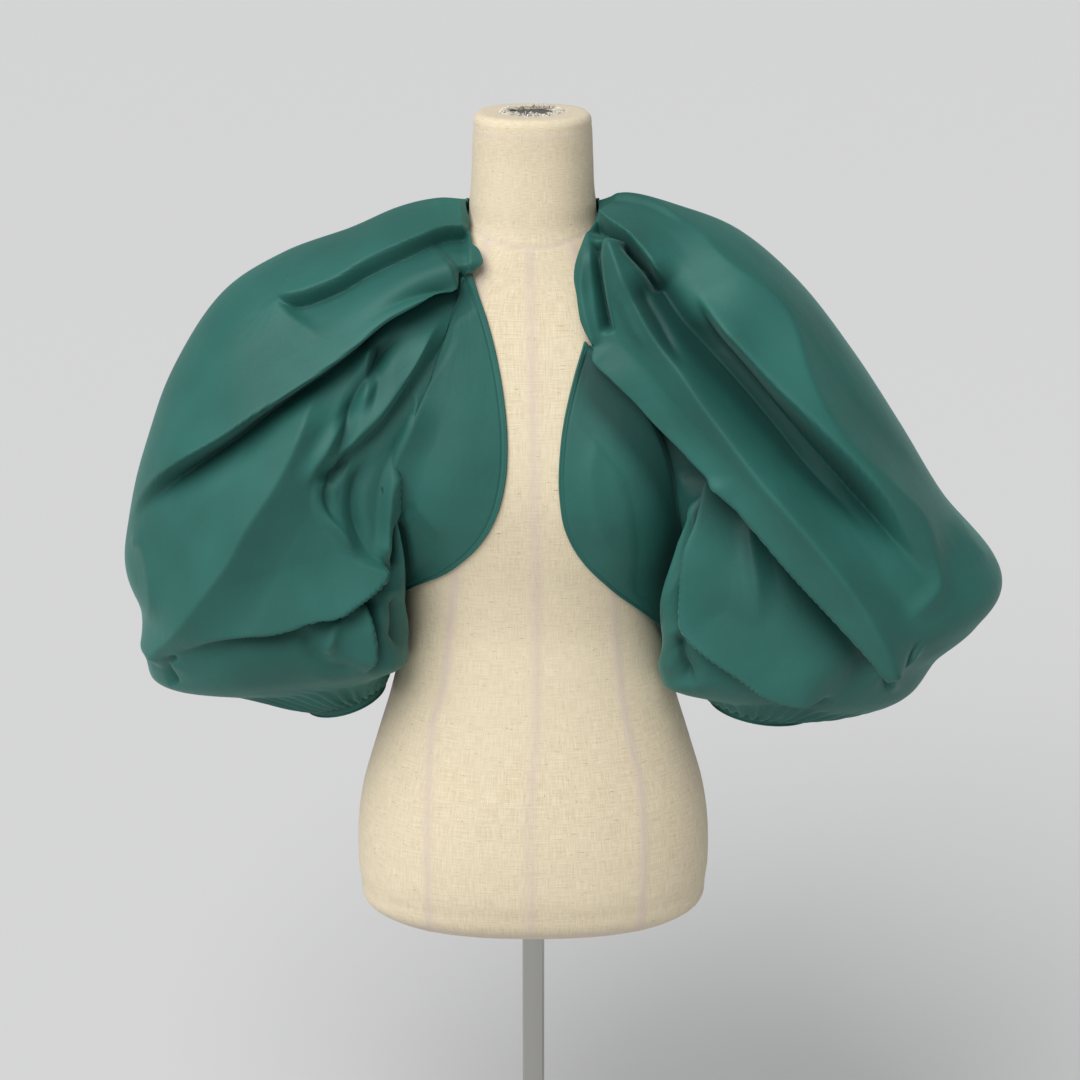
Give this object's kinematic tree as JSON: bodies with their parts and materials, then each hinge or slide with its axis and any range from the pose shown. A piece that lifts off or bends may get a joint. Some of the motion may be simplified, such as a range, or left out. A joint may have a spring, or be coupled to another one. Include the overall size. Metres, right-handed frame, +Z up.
{
  "type": "cropped bolero jacket on a limbless dress form and stand",
  "caption": "Cropped open-front bolero jacket with huge pleated raglan balloon sleeves, worn on a limbless linen dress form on a pole with a round base.",
  "frame": {"origin": "centre of the base's flat underside", "axes": "+Z up, the front of the jacket faces -Y, the wearer's left is +X"},
  "size_m": [0.8288, 0.3399, 1.218],
  "materials": {
    "taffeta": "soft matt sheen",
    "linen": "slubbed weave",
    "neck_plate": "satin grey",
    "steel": "polished"
  },
  "bodies": {
    "root": {"sleeve_left": "taffeta", "sleeve_right": "taffeta", "front_left": "taffeta", "front_right": "taffeta", "back": "taffeta", "cuff_left": "taffeta", "cuff_right": "taffeta", "dress_form": "linen", "neck_plate": "neck_plate", "pole": "steel", "base": "steel"}
  },
  "joints": []
}
